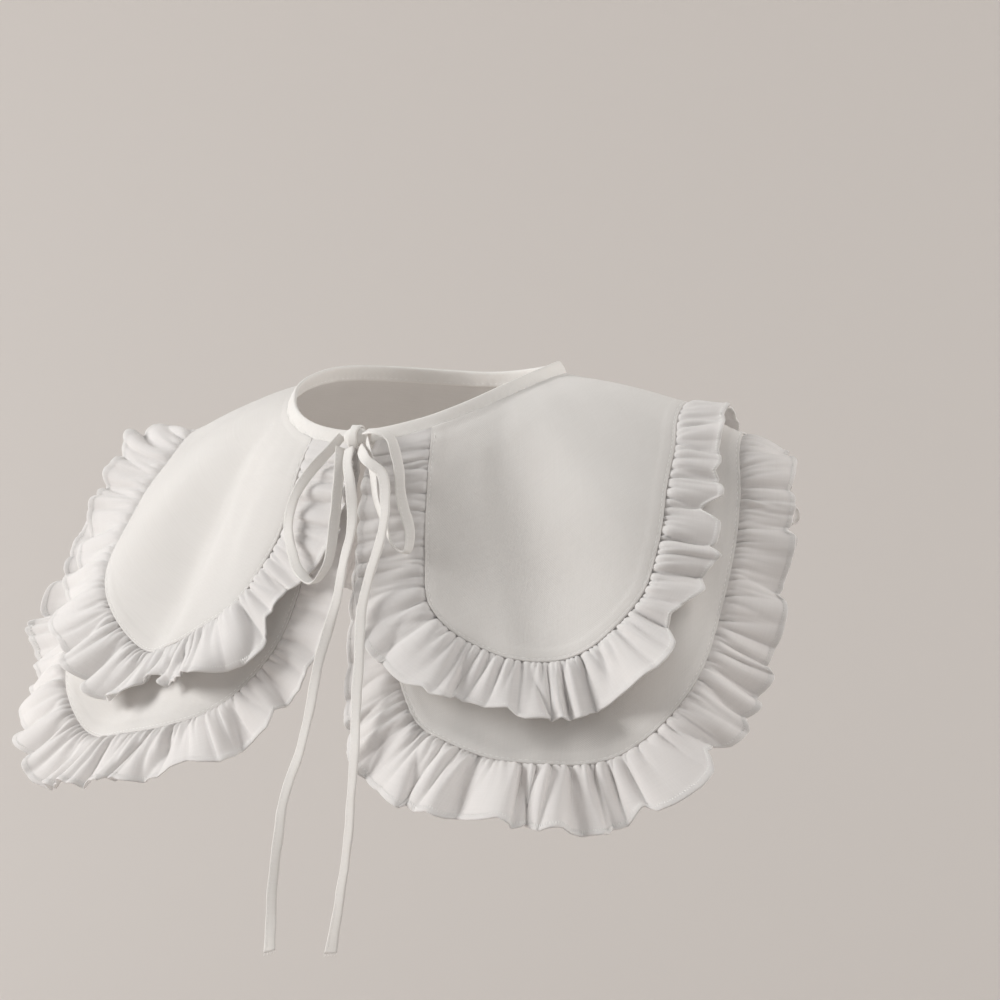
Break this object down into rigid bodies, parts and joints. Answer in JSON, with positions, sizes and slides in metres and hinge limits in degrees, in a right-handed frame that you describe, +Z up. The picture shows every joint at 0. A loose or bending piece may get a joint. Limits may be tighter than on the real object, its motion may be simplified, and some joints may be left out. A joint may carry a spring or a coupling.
{
  "type": "peter pan collar",
  "caption": "Detachable white cotton peter pan collar in two rounded, ruffled layers on a folded neckband, tied at the front with a bow and long tails.",
  "frame": {"origin": "middle of the neck hole, level with the side of the neck, on the neck's axis", "axes": "+Z up along the neck, front of the collar towards -Y, +X towards the wearer's left shoulder"},
  "size_m": [0.4473, 0.3149, 0.2879],
  "materials": {
    "leaf_cotton": "matt plain-weave cotton, two plies",
    "ruffle_cotton": "matt plain-weave cotton, one gathered ply with an overlocked hem",
    "binding_cotton": "matt cotton, folded bias binding"
  },
  "bodies": {
    "root": {"neckband": "binding_cotton", "lower_leaf": "leaf_cotton", "lower_ruffle": "ruffle_cotton", "upper_leaf": "leaf_cotton", "upper_ruffle": "ruffle_cotton", "bow_knot": "binding_cotton", "bow_loop_left": "binding_cotton", "bow_loop_right": "binding_cotton", "tie_tail_left": "binding_cotton", "tie_tail_right": "binding_cotton"}
  },
  "joints": []
}
